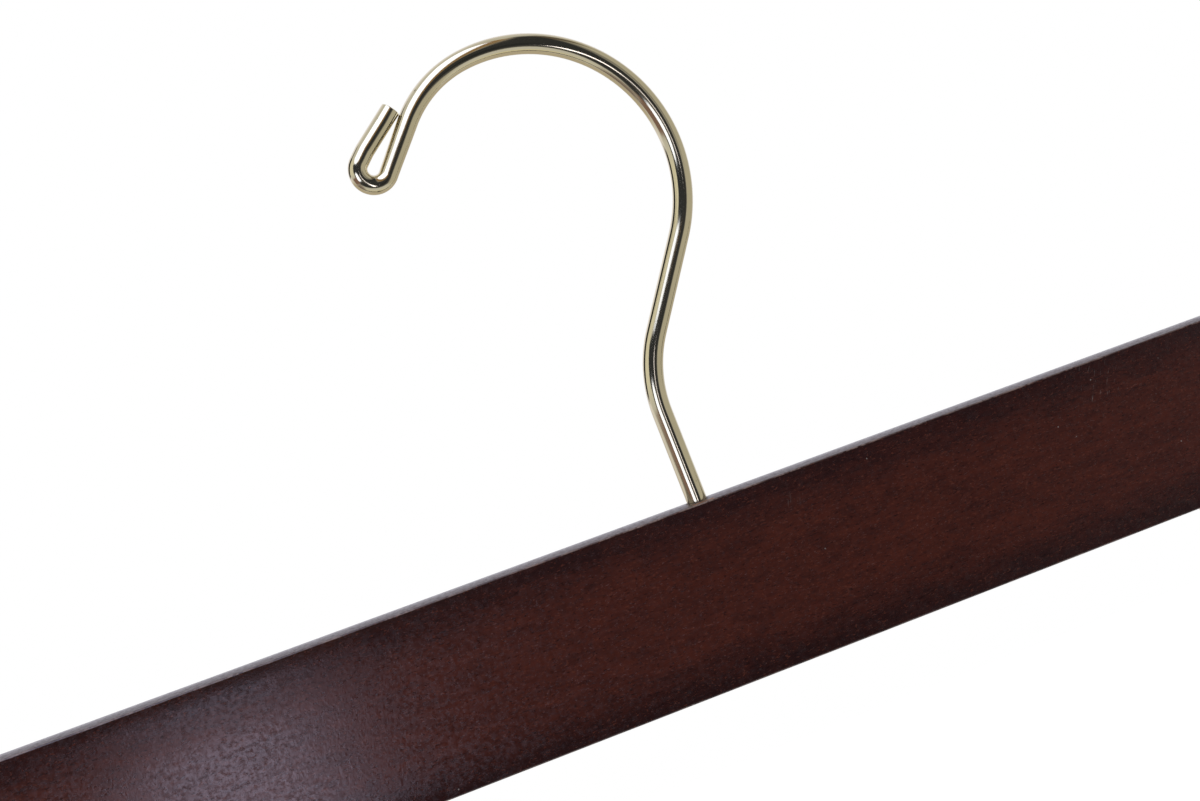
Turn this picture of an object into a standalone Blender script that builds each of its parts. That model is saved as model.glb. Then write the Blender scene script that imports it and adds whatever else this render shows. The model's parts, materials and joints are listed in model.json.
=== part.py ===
"""Wooden skirt hanger: a flat bar on a swivelling wire hook, with two spring clips on wire rails.

Lengths are in metres and angles in degrees. X runs along the bar, Y through its thickness with
the front at -Y, and Z points up. The origin is where the hook's crown rests on a closet rod: the
inside of the bend at its highest point. The hook leaves the bar in the bar's own plane.
"""

import math

import bmesh
import bpy
from mathutils import Matrix, Vector

# Fits shared by all the pieces
FIT = 0.0003
OVERRUN = 0.002
SIDES = 24

# Wooden bar
BAR_LENGTH = 0.356
BAR_HEIGHT = 0.036
BAR_THICKNESS = 0.012
BAR_CORNER_RADIUS = 0.006
BAR_ARRIS = 0.0004

# Hook: bends and straight runs of its centreline, from the bar to the cut end
HOOK_WIRE = 0.004
HOOK_EXIT_RADIUS = 0.030
HOOK_LEAN_HEADING = 92.8
HOOK_SHANK_LENGTH = 0.0169
HOOK_NECK_RADIUS = 0.0257
HOOK_NECK_HEADING = 57.1
HOOK_NECK_LENGTH = 0.0194
HOOK_CROWN_RADIUS = 0.0292
HOOK_SHOULDER_HEADING = 191.0
HOOK_SHOULDER_RADIUS = 0.0232
HOOK_LEG_HEADING = 231.2
HOOK_LEG_LENGTH = 0.0106
HOOK_EYE_GAP = 0.0020
HOOK_EYE_HEADING = 45.5
HOOK_EYE_LENGTH = 0.0020
HOOK_SET_RADIUS = 0.006
HOOK_SET_HEADING = 39.4
HOOK_CUT_GAP = 0.0001
HOOK_BEND_STEP = 9.0
HOOK_SMALL_BEND_STEP = 15.0

# Nut and washer that hold the hook in the bar's recessed underside
RECESS_DEPTH = 0.010
WASHER_DIAMETER = 0.008
WASHER_THICKNESS = 0.0008
NUT_ACROSS_FLATS = 0.007
NUT_HEIGHT = 0.0032
SHANK_PAST_NUT = 0.001

# Clip rails
RAIL_WIRE = 0.0032
RAIL_BEND_RADIUS = 0.004
RAIL_SEAT_DEPTH = 0.014
RAIL_END_MARGIN = 0.012
RAIL_BEND_STEP = 15.0
CLIP_TRAVEL = 0.010
TRAVEL_CLEARANCE = 0.001

# Clip jaws, pressed from sheet
SHEET = 0.001
CLIP_WIDTH = 0.032
TAB_WIDTH = 0.019
TAB_RISE = 0.0165
TAB_SPLAY = 19.0
TAB_CORNER_RADIUS = 0.005
TAB_SHOULDER_RISE = 0.006
TAB_SWING_CLEARANCE = 0.0022
PLATE_STANDOFF = 0.0015
PLATE_FLAT_DROP = 0.004
JAW_SHOULDER_DROP = 0.0135
JAW_DROP = 0.025
JAW_CORNER_RADIUS = 0.002
JAW_BEND_RADIUS = 0.0025
JAW_BEND_STEP = 12.0
EAR_MARGIN = 0.0016

# Hinge tube
TUBE_WALL = 0.0007
RIVET_RIM = 0.001
RIVET_THICKNESS = 0.0007

# Torsion spring
SPRING_WIRE = 0.0011
SPRING_PLAY = 0.0004
SPRING_GAP = 0.0005
SPRING_SIDE_PLAY = 0.0005
SPRING_TURNS = 4
SPRING_LEG_LENGTH = 0.0115
SPRING_BEND_RADIUS = 0.0014
CURL_POINTS = 10

# Rubber pads on the jaws
PAD_WALL = 0.0009
PAD_COVER = 0.0085
PAD_RIB_HEIGHT = 0.0004
PAD_RIB_WIDTH = 0.0012
PAD_RIB_PITCH = 0.0022
PAD_RIBS = 3

# Places and sizes that follow from the ones above
HOOK_EYE_RADIUS = (HOOK_WIRE + HOOK_EYE_GAP) / 2
SHANK_BORE_RADIUS = HOOK_WIRE / 2 + FIT
NUT_ACROSS_CORNERS = NUT_ACROSS_FLATS / math.cos(math.pi / 6)
RECESS_RADIUS = max(WASHER_DIAMETER, NUT_ACROSS_CORNERS) / 2 + FIT
WASHER_TOP = -BAR_HEIGHT + RECESS_DEPTH - FIT
NUT_TOP = WASHER_TOP - WASHER_THICKNESS - FIT
SHANK_END = NUT_TOP - NUT_HEIGHT - SHANK_PAST_NUT
TUBE_BORE_RADIUS = RAIL_WIRE / 2 + FIT
TUBE_RADIUS = TUBE_BORE_RADIUS + TUBE_WALL
TUBE_LENGTH = CLIP_WIDTH + 2 * (FIT + RIVET_THICKNESS)
EAR_HOLE_RADIUS = TUBE_RADIUS + FIT
EAR_RADIUS = EAR_HOLE_RADIUS + EAR_MARGIN
COIL_RADIUS = TUBE_RADIUS + SPRING_PLAY + SPRING_WIRE / 2
TAB_TANGENT_RADIUS = COIL_RADIUS + SPRING_WIRE / 2 + FIT + SHEET / 2
PLATE_OFFSET = TAB_TANGENT_RADIUS + PLATE_STANDOFF
JAW_OFFSET = FIT / 2 + PAD_RIB_HEIGHT + PAD_WALL + FIT + SHEET / 2
REAR_WIDTH = CLIP_WIDTH - 2 * (SHEET + FIT)
SPLAY = math.radians(TAB_SPLAY)
TAB_TIP_OFFSET = (TAB_TANGENT_RADIUS + TAB_RISE * math.sin(SPLAY)) / math.cos(SPLAY)
TAB_FOOT_RISE = (PLATE_OFFSET * math.cos(SPLAY) - TAB_TANGENT_RADIUS) / math.sin(SPLAY)
RAIL_DROP = math.hypot(TAB_TIP_OFFSET + SHEET / 2, TAB_RISE) + TAB_SWING_CLEARANCE
RAIL_SPAN = TUBE_LENGTH + 2 * (CLIP_TRAVEL + TRAVEL_CLEARANCE + RAIL_BEND_RADIUS)
RAIL_CENTRE = BAR_LENGTH / 2 - RAIL_END_MARGIN - RAIL_SPAN / 2


class Pen:
    """Draws a centreline in one plane as straight runs and round bends between headings."""

    def __init__(self, across, up, heading):
        self.at = Vector((across, up))
        self.heading = heading
        self.points = [self.at.copy()]

    def line(self, length):
        turn = math.radians(self.heading)
        self.at = self.at + length * Vector((math.cos(turn), math.sin(turn)))
        self.points.append(self.at.copy())

    def bend(self, radius, heading, step):
        """Turns to a heading on an arc and returns the arc's centre."""
        side = math.copysign(radius, heading - self.heading)
        start = math.radians(self.heading)
        centre = self.at + side * Vector((-math.sin(start), math.cos(start)))
        count = max(1, math.ceil(abs(heading - self.heading) / step))
        for index in range(1, count + 1):
            turn = math.radians(self.heading + (heading - self.heading) * index / count)
            self.at = centre + side * Vector((math.sin(turn), -math.cos(turn)))
            self.points.append(self.at.copy())
        self.heading = heading
        return centre


def hook_centreline():
    """The hook's centreline from its nut end, with the middle of its crown's bend."""
    pen = Pen(0, SHANK_END, 90)
    pen.line(-SHANK_END)
    pen.bend(HOOK_EXIT_RADIUS, HOOK_LEAN_HEADING, HOOK_BEND_STEP)
    pen.line(HOOK_SHANK_LENGTH)
    pen.bend(HOOK_NECK_RADIUS, HOOK_NECK_HEADING, HOOK_BEND_STEP)
    pen.line(HOOK_NECK_LENGTH)
    crown = pen.bend(HOOK_CROWN_RADIUS, HOOK_SHOULDER_HEADING, HOOK_BEND_STEP)
    pen.bend(HOOK_SHOULDER_RADIUS, HOOK_LEG_HEADING, HOOK_BEND_STEP)
    pen.line(HOOK_LEG_LENGTH)
    leg_foot = pen.at.copy()
    pen.bend(HOOK_EYE_RADIUS, HOOK_EYE_HEADING, HOOK_SMALL_BEND_STEP)
    pen.line(HOOK_EYE_LENGTH)
    pen.bend(HOOK_SET_RADIUS, HOOK_SET_HEADING, HOOK_SMALL_BEND_STEP)
    pen.line(fold_length(pen, leg_foot))
    return pen.points, crown


def fold_length(pen, leg_foot):
    """How far the folded end runs before its corner all but touches the tip's leg."""
    leg = math.radians(HOOK_LEG_HEADING - 180)
    closing = leg - math.radians(pen.heading)
    away = pen.at - leg_foot
    distance = math.cos(leg) * away.y - math.sin(leg) * away.x
    stop = HOOK_WIRE / 2 * (1 + math.cos(closing)) + HOOK_CUT_GAP
    return (distance - stop) / math.sin(closing)


HOOK_POINTS, CROWN_CENTRE = hook_centreline()
SWIVEL = Vector((-CROWN_CENTRE.x, 0, HOOK_WIRE / 2 - HOOK_CROWN_RADIUS - CROWN_CENTRE.y))


def rounded(points, radius, step, closed=False):
    """The same polyline with each corner turned on an arc; radius may be a list, one per corner."""
    result = []
    for index, corner in enumerate(points):
        if not closed and index in (0, len(points) - 1):
            result.append(Vector(corner))
            continue
        bend = radius[index] if isinstance(radius, (list, tuple)) else radius
        back = (Vector(points[index - 1]) - Vector(corner)).normalized()
        ahead = (Vector(points[(index + 1) % len(points)]) - Vector(corner)).normalized()
        half = back.angle(ahead) / 2
        centre = Vector(corner) + (back + ahead).normalized() * bend / math.sin(half)
        start = Vector(corner) + back * bend / math.tan(half) - centre
        turn = math.pi - 2 * half
        if back.x * ahead.y - back.y * ahead.x > 0:
            turn = -turn
        count = max(1, math.ceil(math.degrees(abs(turn)) / step))
        for part in range(count + 1):
            angle = turn * part / count
            result.append(centre + Matrix.Rotation(angle, 2) @ start)
    return result


def thickened(path, thickness):
    """The closed outline of a strip of even thickness along an open path."""
    sides = ([], [])
    for index, point in enumerate(path):
        back = (point - path[index - 1]).normalized() if index else None
        ahead = (path[index + 1] - point).normalized() if index < len(path) - 1 else None
        along = (back or ahead) + (ahead or back)
        along.normalize()
        normal = Vector((-along.y, along.x))
        reach = thickness / 2 / along.dot(back or ahead)
        sides[0].append(point + normal * reach)
        sides[1].append(point - normal * reach)
    return sides[0] + sides[1][::-1]


def finish(name, colour, roughness, metallic):
    material = bpy.data.materials.new(name)
    material.use_nodes = True
    shader = material.node_tree.nodes["Principled BSDF"]
    shader.inputs["Base Color"].default_value = (*colour, 1)
    shader.inputs["Roughness"].default_value = roughness
    shader.inputs["Metallic"].default_value = metallic
    return material


def add(name, data, material=None, parent=None, location=(0, 0, 0)):
    """Links an object, with its origin at a location under its parent."""
    item = bpy.data.objects.new(name, data)
    bpy.context.scene.collection.objects.link(item)
    item.parent = parent
    item.location = location
    if material:
        item.data.materials.append(material)
    return item


def solid(build):
    """A mesh from a bmesh, with its faces turned out and round sides shaded smooth."""
    bmesh.ops.recalc_face_normals(build, faces=build.faces)
    mesh = bpy.data.meshes.new("solid")
    build.to_mesh(mesh)
    build.free()
    mesh.shade_smooth()
    mesh.set_sharp_from_angle(angle=math.radians(30))
    return mesh


def prism(outline, low, high, axis):
    """An outline pushed along an axis: Y for one drawn in X and Z, X for one drawn in Y and Z."""
    build = bmesh.new()
    place = {"Y": lambda a, b: (a, low, b), "X": lambda a, b: (low, a, b)}[axis]
    face = build.faces.new([build.verts.new(place(*point)) for point in outline])
    pushed = bmesh.ops.extrude_face_region(build, geom=[face])["geom"]
    verts = [item for item in pushed if isinstance(item, bmesh.types.BMVert)]
    along = (0, high - low, 0) if axis == "Y" else (high - low, 0, 0)
    bmesh.ops.translate(build, verts=verts, vec=along)
    return solid(build)


def turned(profile, axis):
    """A ring turned from a closed profile of (radius, along) points, about Z or X."""
    build = bmesh.new()
    rings = []
    for radius, along in profile:
        ring = []
        for index in range(SIDES):
            angle = 2 * math.pi * index / SIDES
            across, up = radius * math.cos(angle), radius * math.sin(angle)
            ring.append(build.verts.new((across, up, along) if axis == "Z" else (along, across, up)))
        rings.append(ring)
    for index, ring in enumerate(rings):
        following = rings[(index + 1) % len(rings)]
        for side in range(SIDES):
            other = (side + 1) % SIDES
            build.faces.new((ring[side], ring[other], following[other], following[side]))
    return solid(build)


def rod(radius, low, high, axis, sides=SIDES):
    """A round or many-sided solid rod along Z or X."""
    build = bmesh.new()
    bmesh.ops.create_cone(build, cap_ends=True, segments=sides, radius1=radius, radius2=radius,
                          depth=high - low)
    bmesh.ops.translate(build, verts=build.verts, vec=(0, 0, (low + high) / 2))
    if axis == "X":
        bmesh.ops.rotate(build, verts=build.verts, matrix=Matrix.Rotation(math.pi / 2, 3, "Y"))
    return solid(build)


def wire(points, diameter, resolution):
    """A round wire along a list of points, closed at both ends."""
    curve = bpy.data.curves.new("wire", "CURVE")
    curve.dimensions = "3D"
    curve.bevel_depth = diameter / 2
    curve.bevel_resolution = resolution
    curve.use_fill_caps = True
    spline = curve.splines.new("POLY")
    spline.points.add(len(points) - 1)
    for target, point in zip(spline.points, points):
        target.co = (*point, 1)
    return curve


def combine(target, tool, operation):
    """Adds or cuts with a tool object, which is kept as a hidden guide."""
    tool.hide_render = True
    tool.display_type = "WIRE"
    modifier = target.modifiers.new(tool.name, "BOOLEAN")
    modifier.operation = operation
    modifier.solver = "EXACT"
    modifier.object = tool


def wooden_bar(swivel, material):
    half = BAR_LENGTH / 2
    corners = [(-half, -BAR_HEIGHT), (half, -BAR_HEIGHT), (half, 0), (-half, 0)]
    outline = rounded(corners, BAR_CORNER_RADIUS, HOOK_SMALL_BEND_STEP, closed=True)
    mesh = prism(outline, -BAR_THICKNESS / 2, BAR_THICKNESS / 2, "Y")
    bar = add("wooden_bar", mesh, material, swivel)
    bevel = bar.modifiers.new("arris", "BEVEL")
    bevel.width = BAR_ARRIS
    bevel.segments = 2
    bevel.limit_method = "ANGLE"
    bore = rod(SHANK_BORE_RADIUS, -BAR_HEIGHT - OVERRUN, OVERRUN, "Z")
    combine(bar, add("shank_bore", bore, parent=swivel), "DIFFERENCE")
    recess = rod(RECESS_RADIUS, -BAR_HEIGHT - OVERRUN, -BAR_HEIGHT + RECESS_DEPTH, "Z")
    combine(bar, add("nut_recess", recess, parent=swivel), "DIFFERENCE")
    for side, name in ((-1, "left"), (1, "right")):
        for leg in (-1, 1):
            seat = rod(RAIL_WIRE / 2 + FIT, -OVERRUN, RAIL_SEAT_DEPTH + FIT, "Z")
            place = (side * RAIL_CENTRE + leg * RAIL_SPAN / 2, 0, -BAR_HEIGHT)
            tool = add(f"{name}_rail_seat_{'outer' if leg == side else 'inner'}", seat, None, swivel, place)
            combine(bar, tool, "DIFFERENCE")


def hook_pieces(metal, steel):
    points = [(across, 0, up) for across, up in HOOK_POINTS]
    add("hook", wire(points, HOOK_WIRE, 4), metal, None, SWIVEL)
    inner, outer, low = SHANK_BORE_RADIUS, WASHER_DIAMETER / 2, WASHER_TOP - WASHER_THICKNESS
    washer = turned([(inner, low), (outer, low), (outer, WASHER_TOP), (inner, WASHER_TOP)], "Z")
    add("hook_washer", washer, steel, None, SWIVEL)
    body = rod(NUT_ACROSS_CORNERS / 2, NUT_TOP - NUT_HEIGHT, NUT_TOP, "Z", 6)
    nut = add("hook_nut", body, steel, None, SWIVEL)
    thread = rod(SHANK_BORE_RADIUS, NUT_TOP - NUT_HEIGHT - OVERRUN, NUT_TOP + OVERRUN, "Z")
    combine(nut, add("nut_thread", thread, None, None, SWIVEL), "DIFFERENCE")


def clip_rail(name, swivel, side, material):
    half = RAIL_SPAN / 2
    path = [(-half, RAIL_SEAT_DEPTH), (-half, -RAIL_DROP), (half, -RAIL_DROP), (half, RAIL_SEAT_DEPTH)]
    bent = rounded(path, RAIL_BEND_RADIUS, RAIL_BEND_STEP)
    points = [(across, 0, up) for across, up in bent]
    place = (side * RAIL_CENTRE, 0, -BAR_HEIGHT)
    add(name, wire(points, RAIL_WIRE, 3), material, swivel, place)


def hinge_tube(name, pivot, material):
    half = TUBE_LENGTH / 2
    rim, seat = TUBE_RADIUS + RIVET_RIM, half - RIVET_THICKNESS
    outside = [(rim, -half), (rim, -seat), (TUBE_RADIUS, -seat), (TUBE_RADIUS, seat), (rim, seat), (rim, half)]
    add(name, turned([(TUBE_BORE_RADIUS, half), (TUBE_BORE_RADIUS, -half)] + outside, "X"), material, pivot)


def jaw_profile(side):
    """Centreline of a jaw's sheet in Y and Z, from its gripping end to its finger tab."""
    corners = [
        (JAW_OFFSET, -JAW_DROP),
        (JAW_OFFSET, -JAW_SHOULDER_DROP),
        (PLATE_OFFSET, -PLATE_FLAT_DROP),
        (PLATE_OFFSET, TAB_FOOT_RISE),
        (TAB_TIP_OFFSET, TAB_RISE),
    ]
    path = rounded([(side * depth, up) for depth, up in corners], JAW_BEND_RADIUS, JAW_BEND_STEP)
    return thickened(path, SHEET)


def jaw_face(width):
    """Front view of a jaw: wide at the pads and ears, narrower at the rounded finger tab."""
    half, tab = width / 2, TAB_WIDTH / 2
    corners = [(-half, -JAW_DROP), (half, -JAW_DROP), (half, TAB_SHOULDER_RISE), (tab, TAB_RISE)]
    corners += [(-tab, TAB_RISE), (-half, TAB_SHOULDER_RISE)]
    end, edge = JAW_CORNER_RADIUS, TAB_CORNER_RADIUS
    return rounded(corners, [end, end, edge, edge, edge, edge], JAW_BEND_STEP, closed=True)


def ear_outline(side):
    """A rounded lug from the sheet to the hinge tube, in Y and Z."""
    corners = [(side * PLATE_OFFSET, -PLATE_FLAT_DROP), (side * PLATE_OFFSET, TAB_FOOT_RISE)]
    half_turn = range(SIDES // 2 + 1)
    arc = [math.pi / 2 + side * math.pi * step / (SIDES // 2) for step in half_turn]
    return corners + [(EAR_RADIUS * math.cos(turn), EAR_RADIUS * math.sin(turn)) for turn in arc]


def jaw(name, pivot, side, width, material):
    """One pressed jaw: side is -1 for the front and 1 for the rear."""
    half = width / 2
    sheet = add(name, prism(jaw_profile(side), -half, half, "X"), material, pivot)
    reach = TAB_TIP_OFFSET + OVERRUN
    face = prism(jaw_face(width), -reach, reach, "Y")
    combine(sheet, add(f"{name}_outline", face, parent=pivot), "INTERSECT")
    for edge, label in ((-1, "ear_a"), (1, "ear_b")):
        low, high = sorted((edge * half, edge * (half - SHEET)))
        ear = prism(ear_outline(side), low, high, "X")
        combine(sheet, add(f"{name}_{label}", ear, parent=pivot), "UNION")
    hole = rod(EAR_HOLE_RADIUS, -half - OVERRUN, half + OVERRUN, "X")
    combine(sheet, add(f"{name}_hole", hole, parent=pivot), "DIFFERENCE")


def pad(name, pivot, side, width, material):
    """A rubber tip that sleeves the jaw's end, ribbed where it grips."""
    inner = FIT / 2 + PAD_RIB_HEIGHT
    outer = JAW_OFFSET + SHEET / 2 + FIT + PAD_WALL
    top, bottom = -JAW_DROP + PAD_COVER, -JAW_DROP - FIT - PAD_WALL
    outline = [(inner, top), (outer, top), (outer, bottom), (inner, bottom)]
    middle = (top + bottom) / 2 - (PAD_RIBS - 1) * PAD_RIB_PITCH / 2
    for index in range(PAD_RIBS):
        rib = middle + index * PAD_RIB_PITCH
        outline += [(inner, rib - PAD_RIB_WIDTH / 2), (FIT / 2, rib - PAD_RIB_WIDTH / 4),
                    (FIT / 2, rib + PAD_RIB_WIDTH / 4), (inner, rib + PAD_RIB_WIDTH / 2)]
    half = width / 2 + FIT + PAD_WALL
    body = prism([(side * depth, up) for depth, up in outline], -half, half, "X")
    sleeve = add(name, body, material, pivot)
    near, far = JAW_OFFSET - SHEET / 2 - FIT, JAW_OFFSET + SHEET / 2 + FIT
    slot = [(near, top + OVERRUN), (far, top + OVERRUN), (far, -JAW_DROP - FIT), (near, -JAW_DROP - FIT)]
    pocket = prism([(side * depth, up) for depth, up in slot], -width / 2 - FIT, width / 2 + FIT, "X")
    combine(sleeve, add(f"{name}_pocket", pocket, parent=pivot), "DIFFERENCE")


def spring_half():
    """Half of the spring: a leg on the front tab, the coil, and a leg up the rear tab."""
    outer = REAR_WIDTH / 2 - SHEET - SPRING_SIDE_PLAY - SPRING_WIRE / 2
    sweep = 2 * math.pi * SPRING_TURNS + math.pi - 2 * SPLAY
    length = (SPRING_WIRE + SPRING_GAP) * sweep / (2 * math.pi)
    count = round(CURL_POINTS * sweep / (2 * math.pi))
    coil = []
    for index in range(count + 1):
        turn = math.pi + SPLAY + sweep * index / count
        across = -outer + length * index / count
        coil.append(Vector((across, COIL_RADIUS * math.cos(turn), COIL_RADIUS * math.sin(turn))))
    front = Vector((0, -math.sin(SPLAY), math.cos(SPLAY)))
    rear = Vector((0, math.sin(SPLAY), math.cos(SPLAY)))
    leg = [coil[0] + front * SPRING_LEG_LENGTH, coil[0] + front * (SPRING_LEG_LENGTH - SPRING_WIRE)]
    rise = [coil[-1] + rear * (SPRING_LEG_LENGTH - SPRING_BEND_RADIUS)]
    inward = Vector((1, 0, 0))
    for index in (1, 2, 3):
        turn = math.pi / 2 * index / 3
        corner = rear * math.sin(turn) + inward * (1 - math.cos(turn))
        rise.append(rise[0] + SPRING_BEND_RADIUS * corner)
    return leg + coil + rise


def spring(name, pivot, material):
    half = spring_half()
    other = [Vector((-point.x, point.y, point.z)) for point in reversed(half)]
    points = half + other
    print(f"{name}: least gap between its turns {1000 * least_gap(points):.2f} mm")
    add(name, wire(points, SPRING_WIRE, 1), material, pivot)


def least_gap(points):
    """Smallest clear distance between stretches of the wire half a curl or more apart."""
    apart = CURL_POINTS // 2
    gaps = []
    for index, point in enumerate(points):
        for other in points[index + apart:]:
            gaps.append((other - point).length)
    return min(gaps) - SPRING_WIRE


def clip(side, name, swivel, finishes):
    place = (side * RAIL_CENTRE, 0, -BAR_HEIGHT - RAIL_DROP)
    pivot = add(f"{name}_clip_pivot", None, None, swivel, place)
    clip_rail(f"{name}_clip_rail", swivel, side, finishes["plate"])
    hinge_tube(f"{name}_hinge_tube", pivot, finishes["plate"])
    jaw(f"{name}_front_jaw", pivot, -1, CLIP_WIDTH, finishes["plate"])
    jaw(f"{name}_rear_jaw", pivot, 1, REAR_WIDTH, finishes["plate"])
    pad(f"{name}_front_pad", pivot, -1, CLIP_WIDTH, finishes["rubber"])
    pad(f"{name}_rear_pad", pivot, 1, REAR_WIDTH, finishes["rubber"])
    spring(f"{name}_spring", pivot, finishes["spring"])


def main():
    for item in list(bpy.data.objects):
        bpy.data.objects.remove(item)
    finishes = {
        "wood": finish("stained_wood", (0.034, 0.010, 0.008), 0.38, 0),
        "plate": finish("pale_brass_plate", (0.78, 0.72, 0.54), 0.12, 1),
        "steel": finish("zinc_steel", (0.60, 0.60, 0.58), 0.35, 1),
        "spring": finish("spring_steel", (0.50, 0.49, 0.47), 0.28, 1),
        "rubber": finish("black_rubber", (0.022, 0.021, 0.020), 0.62, 0),
    }
    swivel = add("swivel_axis", None, None, None, SWIVEL)
    wooden_bar(swivel, finishes["wood"])
    hook_pieces(finishes["plate"], finishes["steel"])
    for side, name in ((-1, "left"), (1, "right")):
        clip(side, name, swivel, finishes)


main()
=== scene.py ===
"""Looks of the wooden skirt hanger, laid out as an add-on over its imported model.

Lengths are in metres and angles in degrees. X runs along the bar, the front is at -Y and Z points
up, with the origin at the inside of the hook's crown. Each operator makes one group of pieces where
the model has them, and the last one makes the stage.
"""

import json
from itertools import product
from math import ceil, copysign, cos, hypot, pi, radians, sin, sqrt, tan, tau

import bmesh
import bpy
from bpy.props import FloatProperty, FloatVectorProperty, PointerProperty
from bpy.types import Operator, Panel, PropertyGroup
from mathutils import Matrix, Vector, noise


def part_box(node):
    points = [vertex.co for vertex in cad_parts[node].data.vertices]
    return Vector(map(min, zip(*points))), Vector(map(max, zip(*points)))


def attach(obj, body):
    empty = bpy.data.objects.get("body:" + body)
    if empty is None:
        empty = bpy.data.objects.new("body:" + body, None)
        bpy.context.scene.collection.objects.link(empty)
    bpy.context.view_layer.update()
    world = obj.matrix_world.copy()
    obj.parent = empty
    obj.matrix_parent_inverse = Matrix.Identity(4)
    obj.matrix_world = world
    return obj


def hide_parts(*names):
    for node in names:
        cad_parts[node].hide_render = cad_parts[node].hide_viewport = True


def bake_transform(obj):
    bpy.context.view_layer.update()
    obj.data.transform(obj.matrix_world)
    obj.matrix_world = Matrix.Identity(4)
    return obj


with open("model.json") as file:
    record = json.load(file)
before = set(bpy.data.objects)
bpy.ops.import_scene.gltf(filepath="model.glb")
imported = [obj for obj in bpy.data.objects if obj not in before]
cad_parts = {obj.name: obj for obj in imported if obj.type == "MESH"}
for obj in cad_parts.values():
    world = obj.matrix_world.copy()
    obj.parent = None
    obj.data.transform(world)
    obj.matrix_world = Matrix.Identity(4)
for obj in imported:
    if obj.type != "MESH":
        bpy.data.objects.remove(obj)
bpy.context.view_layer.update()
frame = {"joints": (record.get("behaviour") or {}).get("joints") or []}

bl_info = {
    "name": "Wooden Skirt Hanger",
    "version": (1, 0, 0),
    "blender": (4, 5, 0),
    "location": "View3D > Sidebar > Hanger",
    "description": "Builds a wooden skirt hanger with a wire hook and two spring clips",
    "category": "Add Mesh",
}

# The model's box and the places that it gives
JOINTS = {joint["name"]: joint for joint in frame["joints"]}
SWIVEL = Vector(JOINTS["hook_swivel"]["pos_m"])
BAR_LOW, BAR_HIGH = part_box("wooden_bar")
HOOK_LOW, HOOK_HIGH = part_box("hook")
SIDE_NAMES = ("left", "right")
FACINGS = ((-1, "front"), (1, "rear"))

# How finely shapes are drawn, where a flat face starts beside an eased edge, the most of a slab that
# its edges may take, and how far a cutting tool overruns
WIRE_SIDES = 48
SPRING_SIDES = 16
TURNED_SIDES = 72
NUT_SIDES = 120
BEND_STEP = 2.5
EDGE_STEPS = 5
EAR_STEPS = 3
CORNER_STEPS = 12
OUTLINE_STEPS = 14
RUN_STEP = 0.003
BAR_STEP = 0.0022
BAR_COLUMNS, BAR_ROWS = 14, 9
SHEET_STEP = 0.0004
SHEET_COLUMNS, SHEET_ROWS = 22, 2
NEAREST_SHARE = 1 / 40
EDGE_SUPPORT = 0.00012
EDGE_LIMIT = 0.98
OVERRUN = 0.001

# The bar: how its long edges wander, as size, pace along it and place in the noise, its holes' flare
# as a share of its arris, and its scuffed patches as place, reach and lean
WANDERS = ((0.20, 110, 3.1), (0.08, 420, 7.7))
FLARE_SHARE = 0.6
SCUFFS = (((0.0955, BAR_LOW.y, -0.0990), 0.0085, 62), ((0.0285, BAR_LOW.y, -0.1010), 0.0060, 70))

# The hook's course from the bar to its folded tip: bends as radius and new heading, and runs
HOOK_COURSE = (
    ("bend", 0.0300, 92.8),
    ("run", 0.0169),
    ("bend", 0.0257, 57.1),
    ("run", 0.0194),
    ("bend", 0.0292, 191.0),
    ("bend", 0.0232, 231.2),
    ("run", 0.0106),
)
HOOK_FOLD = (("bend", 0.0030, 45.5), ("run", 0.0020), ("bend", 0.0060, 39.4))

# How its fold thins, how its cut end lies and which faces are on that end, and how its thread is cut
FOLD_TAPER = 0.010
HOOK_CUT_GAP = 0.0001
HOOK_CUT_EDGE = 0.00018
HOOK_CUT_FACING = 0.9
THREAD_RINGS = 9
THREAD_DEPTH_SHARE = 0.45

# Washer and nut: their gap to the wire, the washer's edge, and the nut's lead, chamfer and bearing face
FASTENER_GAP = 0.0003
WASHER_EDGE_SHARE = 0.45
NUT_LEAD = 0.0002
NUT_CHAMFER = 30
NUT_BEARING_SHARE = 0.97

# Clip rails and hinge tubes: their eased edges, and the length of the collar at each end of a tube
RAIL_CUT_EDGE = 0.0002
TUBE_COLLAR = 0.0007
TUBE_BORE_EDGE = 0.00022
TUBE_RIM_EDGE = 0.00028
TUBE_FILLET = 0.0002


def length(name, description, default):
    return FloatProperty(name=name, description=description, default=default, min=0,
                         precision=5, unit="LENGTH")


def tint(name, description, default):
    return FloatVectorProperty(name=name, description=description, default=default, min=0, max=1,
                               size=3, subtype="COLOR")


def angle(name, description, default):
    return FloatProperty(name=name, description=description, default=radians(default),
                         subtype="ANGLE")


class BarSettings(PropertyGroup):
    corner: length("Corner", "Radius of the bar's four corners, seen from the front", 0.006)
    arris: length("Arris", "Radius of the bar's long edges", 0.0003)
    crown: length("Crown", "How far sanding takes the faces back at their long edges", 0.00075)
    top_crown: length("Top crown", "How far the narrow top falls at its long edges", 0.00028)
    bore: length("Bore", "Diameter of the hole for the hook's shank", 0.0046)
    recess: length("Recess", "Diameter of the nut's recess under the bar", 0.00868)
    recess_depth: length("Recess depth", "Depth of the nut's recess", 0.010)
    seat: length("Rail seat", "Diameter of the holes for the clip rails", 0.0038)
    seat_depth: length("Seat depth", "Depth of the holes for the clip rails", 0.0143)
    stain: tint("Stain", "Colour of the stained wood in the middle of the face", (0.066, 0.0152, 0.0096))
    toner: tint("Toner", "Colour of the darker toner along the edges", (0.0195, 0.0064, 0.0062))


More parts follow.
